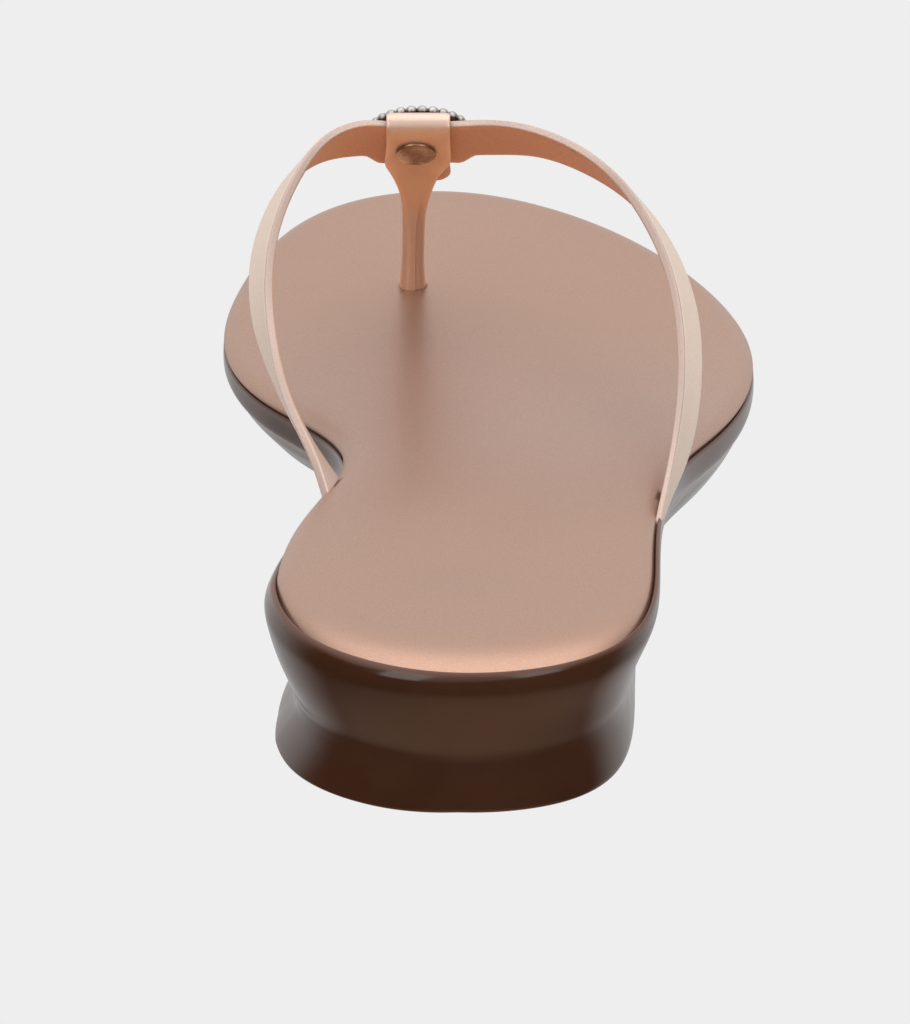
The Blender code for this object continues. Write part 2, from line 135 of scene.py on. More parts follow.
for name, (place, watts) in SOFT_BOXES.items():
    lamp = bpy.data.lights.new(name, "AREA")
    lamp.shape = "RECTANGLE"
    lamp.size, lamp.size_y = SOFT_BOX_WIDTH, SOFT_BOX_HEIGHT
    lamp.energy = watts
    holder = bpy.data.objects.new(name, lamp)
    holder.location = place
    holder.rotation_euler = (-holder.location).to_track_quat("-Z", "Y").to_euler()
    bpy.context.scene.collection.objects.link(holder)

lens = bpy.data.cameras.new("camera")
lens.sensor_width = SENSOR
lens.lens = LENS
lens.clip_end = CAMERA_REACH
camera = bpy.data.objects.new("camera", lens)
camera.location = CAMERA_PLACE
camera.rotation_euler = (np.radians(90.0 - CAMERA_DOWN), 0.0, 0.0)
bpy.context.scene.collection.objects.link(camera)
bpy.context.scene.camera = camera

sweep_mesh = bpy.data.meshes.new("sweep")
corners = np.array([(-1, -1, 0), (1, -1, 0), (1, 1, 0), (-1, 1, 0)]) * SWEEP_HALF
sweep_mesh.from_pydata(corners.tolist(), [], [(0, 1, 2, 3)])
sweep_paint = bpy.data.materials.new("sweep_paint")
sweep_paint.use_nodes = True
sweep_shader = sweep_paint.node_tree.nodes["Principled BSDF"]
sweep_shader.inputs["Base Color"].default_value = (0.0, 0.0, 0.0, 1.0)
sweep_shader.inputs["Specular IOR Level"].default_value = 0.0
sweep_shader.inputs["Emission Color"].default_value = (1.0, 1.0, 1.0, 1.0)
sweep_shader.inputs["Emission Strength"].default_value = SWEEP_TONE
sweep_mesh.materials.append(sweep_paint)
sweep = bpy.data.objects.new("sweep", sweep_mesh)
sweep.visible_glossy = False
bpy.context.scene.collection.objects.link(sweep)


# Sole. One unit moulded in glossy dark brown plastic, with a thin lip that holds the insole, a side that
# tapers to a soft crease, a low flared heel, an arch under the waist and a thin forefoot with toe spring.
# Lengths are in millimetres from the back of the insole: across, along towards the toes, up from the floor.
MM = 0.001
TO_ORIGIN = np.array([-3.24496, -117.41, 0.0])
GAP = 0.3
TUCK = 0.03
INSOLE_LENGTH = 235.4
INSOLE_THICKNESS = 4.2
INSOLE_PROUD = 1.2
HEEL_BREAST = 62.0
BREAST_SLOPE = 3.0
ARCH_RISE = 7.2
TREAD_BACK, TREAD_FRONT = 146.0, 203.0
TOE_SPRING = 3.5
WAIST_BACK, WAIST_FRONT = 45.0, 130.0
INNER_BACK, INNER_FRONT = 27.0, 168.0

# Columns: along, medial and lateral edge of the insole, heights of lip and crease, and how much lower lip and
# crease are on the medial side.
HEEL_BACK = (0.0, 0.3, 0.3, 23.0, 10.0, 0.0, 0.0)
SECTIONS = np.array([
    (5.0, -14.3, 15.6, 23.0, 10.0, 0.0, 0.5),
    (16.0, -23.6, 23.6, 23.0, 10.0, 0.0, 1.2),
    (34.0, -27.5, 26.8, 22.7, 10.0, 0.4, 1.8),
    (46.0, -27.1, 27.2, 22.3, 10.1, 1.9, 1.9),
    (60.0, -25.2, 27.6, 21.5, 10.2, 2.3, 1.8),
    (84.0, -20.4, 29.3, 18.8, 9.8, 2.2, 1.2),
    (106.0, -18.3, 32.8, 15.6, 8.4, 0.7, 0.5),
    (124.0, -22.2, 37.8, 13.0, 6.6, 0.0, 0.0),
    (142.0, -30.5, 42.1, 11.0, 5.2, 0.0, 0.0),
    (172.0, -37.5, 43.7, 9.3, 4.5, 0.0, 0.0),
    (200.0, -34.9, 36.2, 9.5, 4.7, 0.0, 0.0),
    (220.0, -28.4, 23.3, 10.6, 5.7, 0.0, 0.0),
    (230.5, -19.8, 10.8, 11.4, 6.6, 0.0, 0.0),
])
TOE_TIP = (INSOLE_LENGTH, -5.0, -5.0, 11.8, 7.0, 0.0, 0.0)

# Columns: share of the way from the lip (0) over the crease (1) to the ground (2) at heel and ball, distance
# beyond the insole's edge at heel and ball, shift across and forward at the heel, extra distance at the
# heel's corners, and how much further in the level lies on the medial side of the waist.
WALL = (
    (-0.010, 0.30, TUCK, TUCK, 0.0, 0.0, 0.0, 0.0),
    (-0.035, 0.22, 0.35, 0.34, -0.05, 0.0, 0.0, 0.1),
    (0.00, 0.26, 0.80, 0.50, -0.18, 0.0, 0.0, 0.3),
    (0.05, 0.34, 1.14, 0.62, -0.40, 0.0, 0.0, 0.55),
    (0.12, 0.45, 1.32, 0.68, -0.55, 0.0, 0.0, 0.75),
    (0.26, 0.72, 1.10, 0.66, -0.60, 0.0, 0.0, 0.7),
    (0.62, 0.90, -0.65, 0.25, -0.80, 0.3, 0.0, 0.6),
    (0.91, 0.97, -2.22, -0.06, -0.52, 0.65, 0.13, 0.83),
    (1.04, 1.04, -2.80, -0.25, -0.43, 0.9, 0.26, 0.97),
    (1.16, 1.18, -2.92, -0.64, -0.50, 1.2, 0.38, 1.15),
    (1.40, 1.40, -2.72, -1.20, -0.70, 1.7, 0.6, 1.5),
    (1.93, 1.85, -1.15, -2.80, -1.65, 3.0, 1.1, 2.4),
    (2.00, 2.00, -1.75, -3.50, -1.65, 3.0, 1.1, 2.4),
)
WALL_ROWS = 96
HEEL_STEPS, BREAST_STEPS, FRONT_STEPS = 90, 8, 200
TURN_STEP = 1e-3
TRAY_COLUMNS, TREAD_COLUMNS = 8, 24
SOLE_SHARP = 20.0
LIP_FADE = 1.0
BROWN, BROWN_PALE = (0.046, 0.0158, 0.0064), (0.059, 0.0204, 0.0086)
LIP_BROWN, LIP_ROUGHNESS = (0.120, 0.043, 0.021), 0.5
SOLE_POLISH = (0.11, 0.18)
RIPPLE_FINER = 2.2


def eased(value):
    """Ease from 0 to 1: 3v^2 - 2v^3 between, flat at both ends."""
    value = np.clip(value, 0.0, 1.0)
    return value * value * (3.0 - 2.0 * value)


def curve_through(knots, rows, at):
    """Natural cubic curve through rows at knots: cubic pieces that share slope and bend where they meet."""
    knots, rows = np.asarray(knots, float), np.asarray(rows, float)
    step = np.diff(knots)
    slope = np.diff(rows, axis=0) / step[:, None]
    inner = np.arange(1, len(knots) - 1)
    matrix = np.eye(len(knots))
    matrix[inner, inner - 1] = step[:-1]
    matrix[inner, inner] = 2.0 * (step[:-1] + step[1:])
    matrix[inner, inner + 1] = step[1:]
    pull = np.zeros_like(rows)
    pull[1:-1] = 6.0 * np.diff(slope, axis=0)
    bend = np.linalg.solve(matrix, pull)
    i = np.clip(np.searchsorted(knots, at, side="right") - 1, 0, len(knots) - 2)
    u, h = (at - knots[i])[:, None], step[i][:, None]
    first = slope[i] - h * (2.0 * bend[i] + bend[i + 1]) / 6.0
    return rows[i] + u * (first + u * (bend[i] / 2.0 + u * (bend[i + 1] - bend[i]) / (6.0 * h)))


def turn_of(along):
    """Angle round the plan, 0 at the heel's back and pi at the toe's tip: along = L (1 - cos turn) / 2."""
    return np.arccos(1.0 - 2.0 * np.asarray(along) / INSOLE_LENGTH)


def outline(turn):
    """The insole's edge in plan and the heights round it: one closed curve in turn, medial side positive."""
    side = turn_of(SECTIONS[:, 0])
    medial = SECTIONS[:, [1, 3, 4, 5, 6]]
    lateral = SECTIONS[:, [2, 3, 4, 5, 6]] * (1.0, 1.0, 1.0, 0.0, 0.0)
    ends = [np.delete(row, [0, 2])[None] for row in (HEEL_BACK, TOE_TIP)]
    once = np.concatenate([-side[::-1], [0.0], side, [np.pi]])
    rows = np.concatenate([lateral[::-1], ends[0], medial, ends[1]])
    knots = np.concatenate([once - 2.0 * np.pi, once, once + 2.0 * np.pi])
    edge, *heights = curve_through(knots, np.concatenate([rows, rows, rows]), turn).T
    return np.stack([edge, INSOLE_LENGTH * (1.0 - np.cos(turn)) / 2.0], axis=1), heights


half_turn = np.concatenate([
    np.linspace(0.0, turn_of(HEEL_BREAST), HEEL_STEPS),
    turn_of(np.linspace(HEEL_BREAST, HEEL_BREAST + BREAST_SLOPE, BREAST_STEPS))[1:-1],
    np.linspace(turn_of(HEEL_BREAST + BREAST_SLOPE), np.pi, FRONT_STEPS),
])
turn = np.concatenate([half_turn, -half_turn[-2:0:-1]])
plan, (seat, crease, lip_dip, crease_dip) = outline(turn)
run = outline(turn + TURN_STEP)[0] - outline(turn - TURN_STEP)[0]
run /= np.linalg.norm(run, axis=1)[:, None]
outward = np.stack([-run[:, 1], run[:, 0]], axis=1)
along = plan[:, 1]
lip = seat - lip_dip
crease = crease - crease_dip
arch = ARCH_RISE * eased((TREAD_BACK - along) / (TREAD_BACK - HEEL_BREAST - BREAST_SLOPE))
spring = TOE_SPRING * eased((along - TREAD_FRONT) / (INSOLE_LENGTH - TREAD_FRONT))
ground = (arch + spring) * np.clip((along - HEEL_BREAST) / BREAST_SLOPE, 0.0, 1.0)
heel = 1.0 - eased((along - WAIST_BACK) / (WAIST_FRONT - WAIST_BACK))
corner = np.abs(2.0 * outward[:, 0] * outward[:, 1])
waist = np.clip((along - INNER_BACK) / (INNER_FRONT - INNER_BACK), 0.0, 1.0)
waist = np.where(turn > 0.0, np.sin(np.pi * waist), 0.0)


def plan_ring(out, height):
    """Rings at a distance beyond the insole's edge and a height: edge + out * outward, level by level."""
    flat = plan + outward * np.asarray(out)[..., None]
    return np.concatenate([flat, np.broadcast_to(height, flat.shape[:-1])[..., None]], axis=-1)


def wall_rings():
    """The side's rings: each level blends its heel and ball values, and a curve runs through the levels."""
    level = np.array(WALL)[:, :, None]
    share = level[:, 0] * heel + level[:, 1] * (1.0 - heel)
    upper = lip + (crease - lip) * share
    lower = crease + (ground - crease) * (share - 1.0)
    out = (level[:, 2] + level[:, 6] * corner) * heel + level[:, 3] * (1.0 - heel) - level[:, 7] * waist
    rings = plan_ring(out, np.where(share < 1.0, upper, lower))
    rings[..., 0] += level[:, 4] * heel
    rings[..., 1] += level[:, 5] * heel
    chord = np.linalg.norm(np.diff(rings, axis=0), axis=2).mean(axis=1)
    knots = np.append(0.0, np.cumsum(np.sqrt(chord)))
    fine = curve_through(knots, rings.reshape(len(rings), -1), np.linspace(0.0, knots[-1], WALL_ROWS))
    return fine.reshape(WALL_ROWS, -1, 3)


def ladder(ring, first, start, columns, lift):
    """Close a plan ring by rows across: point = medial + share (lateral - medial), raised by lift."""
    half = len(ring) // 2
    medial, lateral = ring[1:half, None], ring[:half:-1, None]
    share = (np.arange(1, columns) / columns)[None, :, None]
    points = medial + share * (lateral - medial)
    points[..., 2] += lift(points[..., 0], points[..., 1], share[..., 0])
    middle = start + np.arange((half - 1) * (columns - 1)).reshape(half - 1, columns - 1)
    side = first + np.arange(1, half)[:, None]
    ids = np.hstack([side, middle, first + len(ring) - np.arange(1, half)[:, None]])
    quads = np.stack([ids[:-1, :-1], ids[:-1, 1:], ids[1:, 1:], ids[1:, :-1]], axis=-1).reshape(-1, 4)
    back = np.stack([np.full(columns, first), ids[0, 1:], ids[0, :-1]], axis=-1)
    tip = np.stack([ids[-1, :-1], ids[-1, 1:], np.full(columns, first + half)], axis=-1)
    return points.reshape(-1, 3), quads.tolist() + back.tolist() + tip.tolist()


def lofted(rings):
    """Quads between neighbouring closed rings: (i, j), (i, j+1), (i+1, j+1), (i+1, j)."""
    count, sides = rings.shape[:2]
    ids = np.arange(count * sides).reshape(count, sides)
    right = np.roll(ids, -1, axis=1)
    return np.stack([ids[:-1], right[:-1], right[1:], ids[1:]], axis=-1).reshape(-1, 4).tolist()


def level_top(across, along, share):
    """No lift."""
    return np.zeros_like(along)


def plan_body(rings, upper_columns, upper_lift, lower_columns):
    """A closed body from rings that run from its upper face, over its side, to its lower face."""
    points = rings.reshape(-1, 3)
    faces = lofted(rings)
    more, upper = ladder(rings[0], 0, len(points), upper_columns, upper_lift)
    last = len(points) - rings.shape[1]
    under, lower = ladder(rings[-1], last, len(points) + len(more), lower_columns, level_top)
    return np.concatenate([points, more, under]), faces + upper + [face[::-1] for face in lower]


def make_piece(name, points, faces, paint, sharp=40.0, **marks):
    """A piece from points in millimetres from the insole's back, with its paint and its marks per point.

    Edges of more than sharp degrees stay crisp.
    """
    mesh = bpy.data.meshes.new(name)
    mesh.from_pydata(((points + TO_ORIGIN) * MM).tolist(), [], faces)
    for mark, values in marks.items():
        layer = mesh.attributes.new(mark, "FLOAT", "POINT")
        layer.data.foreach_set("value", np.ravel(values).astype(np.float32))
    mesh.materials.append(paint)
    mesh.shade_smooth()
    mesh.set_sharp_from_angle(angle=np.radians(sharp))
    piece = bpy.data.objects.new(name, mesh)
    bpy.context.scene.collection.objects.link(piece)
    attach(piece, "root")
    return piece


def new_paint(name, metallic):
    """A material with its node tree and its Principled shader."""
    paint = bpy.data.materials.new(name)
    paint.use_nodes = True
    shader = paint.node_tree.nodes["Principled BSDF"]
    shader.inputs["Metallic"].default_value = metallic
    return paint, paint.node_tree, shader


def marked(tree, name):
    """A mark of the piece's own points, as a socket."""
    made = node(tree, "Attribute")
    made.attribute_name = name
    return made.outputs["Fac"]


def bumped(tree, shader, height, strength, distance):
    """Raise the surface by a height, distance metres at 1."""
    made = node(tree, "Bump", Strength=strength, Distance=distance, Height=height)
    tree.links.new(made.outputs["Normal"], shader.inputs["Normal"])


def handling_group():
    """Soft smears left by hands and polish: cloudy noise, eased from 0 to 1, and a finer plain ripple."""
    group = bpy.data.node_groups.new("handling", "ShaderNodeTree")
    group.interface.new_socket("Scale", in_out="INPUT", socket_type="NodeSocketFloat")
    group.interface.new_socket("Smear", in_out="OUTPUT", socket_type="NodeSocketFloat")
    group.interface.new_socket("Ripple", in_out="OUTPUT", socket_type="NodeSocketFloat")
    given, result = node(group, "TexCoord").outputs["Object"], group.nodes.new("NodeGroupOutput")
    scale = group.nodes.new("NodeGroupInput").outputs["Scale"]
    cloud = node(group, "TexNoise", Vector=given, Scale=scale, Detail=4.0, Roughness=0.6, Distortion=0.6)
    group.links.new(ranged(group, cloud.outputs[0], low=0.32, high=0.72), result.inputs["Smear"])
    finer = math(group, "MULTIPLY", scale, RIPPLE_FINER)
    wave = node(group, "TexNoise", Vector=given, Scale=finer, Detail=1.0)
    group.links.new(wave.outputs[0], result.inputs["Ripple"])
    return group


def grouped(tree, group, **values):
    """A node group with its own values."""
    made = tree.nodes.new("ShaderNodeGroup")
    made.node_tree = group
    for name, value in values.items():
        made.inputs[name.replace("_", " ")].default_value = value
    return made.outputs


handling = handling_group()
sole_paint, tree, shader = new_paint("sole_gloss", 0.0)
smear = grouped(tree, handling, Scale=32.0)
brown = tinted(tree, smear["Smear"], BROWN, BROWN_PALE)
brown = tinted(tree, marked(tree, "lip_top"), brown, LIP_BROWN)
tree.links.new(brown, shader.inputs["Base Color"])
rubbed = math(tree, "MULTIPLY", marked(tree, "lip_top"), LIP_ROUGHNESS)
polish = ranged(tree, smear["Smear"], 0.0, 1.0, *SOLE_POLISH)
tree.links.new(math(tree, "MAXIMUM", rubbed, polish), shader.inputs["Roughness"])
bumped(tree, shader, smear["Ripple"], strength=0.10, distance=0.0004)

tray = plan_ring(np.full((1, len(turn)), TUCK), seat + INSOLE_PROUD - INSOLE_THICKNESS - GAP)
wall = wall_rings()
points, faces = plan_body(np.concatenate([tray, wall]), TRAY_COLUMNS, level_top, TREAD_COLUMNS)
lip_top = np.zeros(len(points))
from_top = (wall[..., 2].max(axis=0) - wall[..., 2]) / LIP_FADE
lip_top[:len(turn)] = 1.0
lip_top[len(turn):len(turn) * (WALL_ROWS + 1)] = (1.0 - eased(from_top)).ravel()
sole = make_piece("sole_unit", points, faces, sole_paint, SOLE_SHARP, lip_top=lip_top)
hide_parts("sole")


# Insole. A padded footbed of board and thin foam under rose-gold metallic leather, turned over its rounded
# edge and set into the sole's lip: a broad soft roll round the heel, a plump edge over the lip at the toes.
# The heel seat is dished a little and the leather sinks round the post. Shade is painted in dark brown
# round the post's foot and in short narrow patches beside the strap ends, where they go down by the pad.
HEEL_SEAT_DISH = 0.8
DISH_START, DISH_FULL, DISH_END = 18.0, 44.0, 90.0
POST_HOLE = (-8.5, 195.6)
# Where shade is painted round the post's foot.
HOLE_TOP, HOLE_RADIUS, HOLE_EDGE = 10.0, 2.0, 0.5
HOLE_SINK, HOLE_SPREAD = 0.7, 3.0
EDGE_ROWS = 60
PAD_COLUMNS, PAD_UNDER_COLUMNS = 90, 8
GOLD, GOLD_PALE, GOLD_CLOUD = (0.408, 0.248, 0.184), (0.466, 0.293, 0.220), (0.470, 0.272, 0.188)
CLOUD_SHARE = 0.3
PEBBLE_SHARE = 0.7
GOLD_METALLIC, GOLD_ROUGHNESS = 0.8, (0.40, 0.32)
# Painted shade round the post's foot and beside the strap ends: dark brown, rough and not metallic.
PAINTED_SHADE_BROWN, PAINTED_SHADE_ROUGHNESS, PAINTED_SHADE_FULL = (0.12, 0.045, 0.026), 0.9, 0.8

# Columns: distance in from the insole's edge and drop from its top, at the heel's back, along the heel's
# sides and at the ball.
EDGE = np.array([
    (18.0, 0.00, 11.0, 0.00, 11.0, 0.00),
    (14.0, 0.03, 8.0, 0.02, 8.0, 0.02),
    (10.5, 0.14, 5.0, 0.09, 5.0, 0.07),
    (7.6, 0.40, 2.7, 0.24, 2.9, 0.17),
    (5.6, 0.78, 1.3, 0.48, 1.3, 0.42),
    (4.2, 1.20, 0.5, 0.85, 0.1, 0.95),
    (2.9, 1.75, 0.15, 1.30, -0.55, 1.55),
    (1.6, 2.45, 0.0, 1.90, -0.35, 2.00),
    (0.5, 3.10, 0.0, 2.70, 0.0, 2.45),
    (0.0, 3.70, 0.0, 3.70, 0.0, 3.70),
    (0.5, 4.20, 0.5, 4.20, 0.5, 4.20),
])

# Painted shadow patches beside the strap ends.
# Columns: middle across and along, degrees from across, length, width.
SLIT_SHADOWS = {"medial": (-19.5, 84.6, 80.0, 7.6, 1.2), "lateral": (28.35, 78.0, 84.0, 7.0, 1.1)}
SLIT_SHADOW_FADE = (0.3, 1.3)


def foot_lift(across, along, share):
    """Heel dish, -D sin^2(pi share), fading to waist and back, and a sink at the post, -S exp(-(r / w)^2)."""
    back = eased((along - DISH_START) / (DISH_FULL - DISH_START))
    dish = -HEEL_SEAT_DISH * back * (1.0 - eased((along - DISH_FULL) / (DISH_END - DISH_FULL)))
    away = np.hypot(across - POST_HOLE[0], along - POST_HOLE[1])
    return dish * np.sin(np.pi * share) ** 2 - HOLE_SINK * np.exp(-(away / HOLE_SPREAD) ** 2)


def grain_group():
    """Leather under metallic foil: pebbled height from cells plus noise, bright flecks, soft clouds."""
    group = bpy.data.node_groups.new("leather_grain", "ShaderNodeTree")
    group.interface.new_socket("Pebble Scale", in_out="INPUT", socket_type="NodeSocketFloat")
    group.interface.new_socket("Fleck Scale", in_out="INPUT", socket_type="NodeSocketFloat")
    for name in ("Height", "Fleck", "Cloud"):
        group.interface.new_socket(name, in_out="OUTPUT", socket_type="NodeSocketFloat")
    given, result = node(group, "TexCoord").outputs["Object"], group.nodes.new("NodeGroupOutput")
    scales = group.nodes.new("NodeGroupInput").outputs
    pebble = node(group, "TexVoronoi", Vector=given, Scale=scales["Pebble Scale"], Randomness=1.0)
    rough = node(group, "TexNoise", Vector=given, Scale=scales["Fleck Scale"], Detail=2.0, Roughness=0.7)
    height = math(group, "MULTIPLY_ADD", pebble.outputs["Distance"], PEBBLE_SHARE, rough.outputs[0])
    group.links.new(height, result.inputs["Height"])
    group.links.new(ranged(group, rough.outputs[0], low=0.34, high=0.68), result.inputs["Fleck"])
    cloud = node(group, "TexNoise", Vector=given, Scale=16.0, Detail=3.0)
    group.links.new(ranged(group, cloud.outputs[0], low=0.3, high=0.7), result.inputs["Cloud"])
    return group


def slit_shadow(tree, given, across, along, degrees, length, width):
    """A painted shadow patch: 1 fading to 0 over the edge of an oblong turned by degrees, where 2|x| / length
    or 2|y| / width is 1.
    """
    middle = (np.array([across, along, 0.0]) + TO_ORIGIN) * MM
    placed = node(tree, "Mapping", Vector=given, Location=middle, Rotation=(0.0, 0.0, np.radians(degrees)))
    placed.vector_type = "TEXTURE"
    spread = node(tree, "SeparateXYZ", placed.outputs[0])
    far = math(tree, "MULTIPLY", math(tree, "ABSOLUTE", spread.outputs["X"]), 2.0 / (length * MM))
    wide = math(tree, "MULTIPLY", math(tree, "ABSOLUTE", spread.outputs["Y"]), 2.0 / (width * MM))
    return ranged(tree, math(tree, "MAXIMUM", far, wide), *SLIT_SHADOW_FADE, 1.0, 0.0)


leather_grain = grain_group()
insole_paint, tree, shader = new_paint("rose_gold_leather", GOLD_METALLIC)
grain = grouped(tree, leather_grain, Pebble_Scale=1800.0, Fleck_Scale=5200.0)
given = node(tree, "TexCoord").outputs["Object"]
gold = tinted(tree, grain["Fleck"], GOLD, GOLD_PALE)
gold = tinted(tree, math(tree, "MULTIPLY", grain["Cloud"], CLOUD_SHARE), gold, GOLD_CLOUD)
# Shade painted round the post's foot and in the patches beside the strap ends: dark brown, matte, not
# metallic.
hole = node(tree, "VectorMath", given, tuple((np.array([*POST_HOLE, HOLE_TOP]) + TO_ORIGIN) * MM))
hole.operation = "DISTANCE"
dark = ranged(tree, hole.outputs["Value"], HOLE_RADIUS * MM, (HOLE_RADIUS + HOLE_EDGE) * MM, 1.0, 0.0)
for shadow_patch in SLIT_SHADOWS.values():
    dark = math(tree, "MAXIMUM", dark, slit_shadow(tree, given, *shadow_patch))
tree.links.new(tinted(tree, dark, gold, PAINTED_SHADE_BROWN), shader.inputs["Base Color"])
foil = ranged(tree, grain["Fleck"], 0.0, 1.0, *GOLD_ROUGHNESS)
shade_roughness = math(tree, "MULTIPLY", dark, PAINTED_SHADE_ROUGHNESS)
tree.links.new(math(tree, "MAXIMUM", foil, shade_roughness), shader.inputs["Roughness"])
tree.links.new(ranged(tree, dark, 0.0, PAINTED_SHADE_FULL, GOLD_METALLIC, 0.0), shader.inputs["Metallic"])
bumped(tree, shader, grain["Height"], strength=0.14, distance=0.0001)

steps = np.append(0.0, np.cumsum(np.sqrt(np.linalg.norm(np.diff(EDGE, axis=0), axis=1))))
edge_rows = curve_through(steps, EDGE, np.linspace(0.0, steps[-1], EDGE_ROWS))
heel_back = heel * np.maximum(-outward[:, 1], 0.0)
share = np.stack([heel_back, heel - heel_back, 1.0 - heel])
rings = plan_ring(-edge_rows[:, 0::2] @ share, INSOLE_PROUD - edge_rows[:, 1::2] @ share)
rings[..., 2] += np.interp(rings[..., 1], along[:len(half_turn)], seat[:len(half_turn)])
points, faces = plan_body(rings, PAD_COLUMNS, foot_lift, PAD_UNDER_COLUMNS)
insole = make_piece("insole_pad", points, faces, insole_paint)
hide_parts("insole")


# Strap. The upper: one narrow band from the medial waist over the toes to the lateral waist, both ends tucked
# between insole and lip. Pale champagne leather outside is glued to a copper lining inside, with a flat
# painted edge and a fine groove pressed along the outer corners.
STRAP_THICKNESS = 1.5
APEX_LEAN = 42.0
STRAP_STATIONS = 420
STRAP_SIDES = 112
CORNER_CROWDING = 0.4
WIDTH_POWER, DEPTH_POWER = 9.0, 6.0
GROOVE_DEGREES, GROOVE_SPREAD = 45.0, 5.0
GROOVE_IN, GROOVE_DOWN = 0.04, 0.12
RIM_AT, RIM_SPREAD = 0.86, 0.03
PALE_LENGTH = 60.0
PARED, PARED_LENGTH = 0.38, 80.0
FLARE, FLARE_FULL, FLARE_END = 2.4, 5.2, 8.2
CRISP_EDGE = 50.0
CHAMPAGNE, CHAMPAGNE_PALE = (0.76, 0.575, 0.450), (0.84, 0.660, 0.530)
# A paler colour painted along the outer face's rounded shoulder, beside the groove, as a highlight.
RIM_HIGHLIGHT_PALE, RIM_HIGHLIGHT_SHARE = (0.84, 0.70, 0.61), 0.5
LINING, LINING_PALE, LINING_END = (0.75, 0.355, 0.186), (0.85, 0.425, 0.240), (0.58, 0.425, 0.345)
EDGING, EDGING_PALE = (0.50, 0.365, 0.305), (0.58, 0.430, 0.365)
GROOVE_BROWN, GROOVE_SHARE = (0.36, 0.265, 0.215), 0.75
LINING_SEAM, OUTER_SEAM = (-0.80, -0.60), (0.86, 0.93)
STRAP_METALLIC, STRAP_ROUGHNESS = 0.35, (0.42, 0.32)

# Columns: across, along, height, roll of the outer face from upright (0) to flat (90), width.
STRAP = np.array([
    (-19.2, 77.0, 16.5, -40, 4.0),
    (-20.2, 84.5, 18.7, -40, 6.2),
    (-24.0, 96.0, 22.0, -29, 7.0),
    (-28.3, 114.0, 25.0, -11, 7.2),
    (-31.1, 132.5, 28.9, 13, 7.5),
    (-31.2, 151.5, 32.4, 30, 7.5),
    (-27.8, 169.5, 36.3, 39, 7.5),
    (-21.6, 180.5, 39.0, 37, 7.6),
    (-15.4, 184.3, 38.95, 35, 8.1),
    (-12.7, 184.7, 38.75, 38, 8.3),
    (-7.4, 184.9, 38.55, APEX_LEAN, 8.3),
    (-2.5, 184.7, 38.75, 39, 8.3),
    (-0.2, 184.3, 38.95, 37, 8.1),
    (9.8, 179.0, 40.4, 38, 7.6),
    (20.0, 171.0, 38.8, 39, 7.5),
    (29.0, 152.0, 35.4, 38, 7.5),
    (33.0, 131.0, 31.3, 32, 7.3),
    (33.45, 109.0, 26.2, 20, 7.3),
    (31.25, 87.0, 22.9, 4, 7.3),
    (28.9, 73.0, 20.4, -6, 4.6),
    (26.9, 60.0, 17.6, -10, 3.0),
])
APEX = np.array([-7.4, 185.4, 38.0])


def unit(vectors):
    """Vectors of length 1."""
    return vectors / np.linalg.norm(vectors, axis=-1, keepdims=True)


def route_of(table, stations):
    """The table's rows as one curve over the length of its path, at evenly spaced stations, with its run."""
    knots = np.append(0.0, np.cumsum(np.linalg.norm(np.diff(table[:, :3], axis=0), axis=1)))
    route = curve_through(knots, table, np.linspace(0.0, knots[-1], stations))
    return route, unit(np.gradient(route[:, :3], axis=0))


def signed_power(value, power):
    """Sign kept, size raised to a power."""
    return np.sign(value) * np.abs(value) ** power


def tube(rings):
    """A closed loft with flat ends."""
    points = rings.reshape(-1, 3)
    sides = rings.shape[1]
    return points, lofted(rings) + [list(range(sides))[::-1], list(range(len(points) - sides, len(points)))]


def strap_surface():
    """The band: a rounded oblong, |w|^9 + |d|^6 = 1, carried along the route, grooved at its outer corners.

    Its lower edge flares under the tab, and its lateral end is pared thinner. The marks are d, the groove, a
    painted highlight along the rounded shoulder just inside it, and how near the end of the strap lies.
    """
    route, ahead = route_of(STRAP, STRAP_STATIONS)
    left = unit(np.stack([-ahead[:, 1], ahead[:, 0], np.zeros(STRAP_STATIONS)], axis=1))
    roll = np.radians(route[:, 3])[:, None]
    outer = np.cos(roll) * left + np.sin(roll) * np.cross(ahead, left)
    broad = np.cross(outer, ahead)
    even = 2.0 * np.pi * (np.arange(STRAP_SIDES) + 0.5) / STRAP_SIDES
    angle = even - CORNER_CROWDING * np.sin(2.0 * even)
    across = signed_power(np.cos(angle), 2.0 / WIDTH_POWER)
    depth = signed_power(np.sin(angle), 2.0 / DEPTH_POWER)
    corner = np.degrees(np.arctan2(np.sin(angle), np.abs(np.cos(angle))))
    groove = np.exp(-((corner - GROOVE_DEGREES) / GROOVE_SPREAD) ** 2)
    rim_highlight = np.exp(-((np.abs(across) - RIM_AT) / RIM_SPREAD) ** 2) * (depth > 0.0)
    length = np.append(0.0, np.cumsum(np.linalg.norm(np.diff(route[:, :3], axis=0), axis=1)))
    pared = 1.0 - PARED * (1.0 - eased((length[-1] - length) / PARED_LENGTH))
    beside = np.abs(route[:, :1] - APEX[0])
    flare = FLARE * (1.0 - eased((beside - FLARE_FULL) / (FLARE_END - FLARE_FULL)))
    wide = across * (1.0 - GROOVE_IN * groove) * route[:, 4:] / 2.0 + np.maximum(across, 0.0) * flare
    deep = depth * (1.0 - GROOVE_DOWN * groove) * pared[:, None] * STRAP_THICKNESS / 2.0
    rings = route[:, None, :3] + wide[..., None] * broad[:, None] + deep[..., None] * outer[:, None]
    near_end = 1.0 - eased(np.minimum(length, length[-1] - length) / PALE_LENGTH)
    around = np.ones((STRAP_STATIONS, 1))
    marks = {"layer": around * depth, "groove": around * groove, "rim_highlight": around * rim_highlight}
    return rings, marks | {"near_end": near_end[:, None] + np.zeros(STRAP_SIDES)}


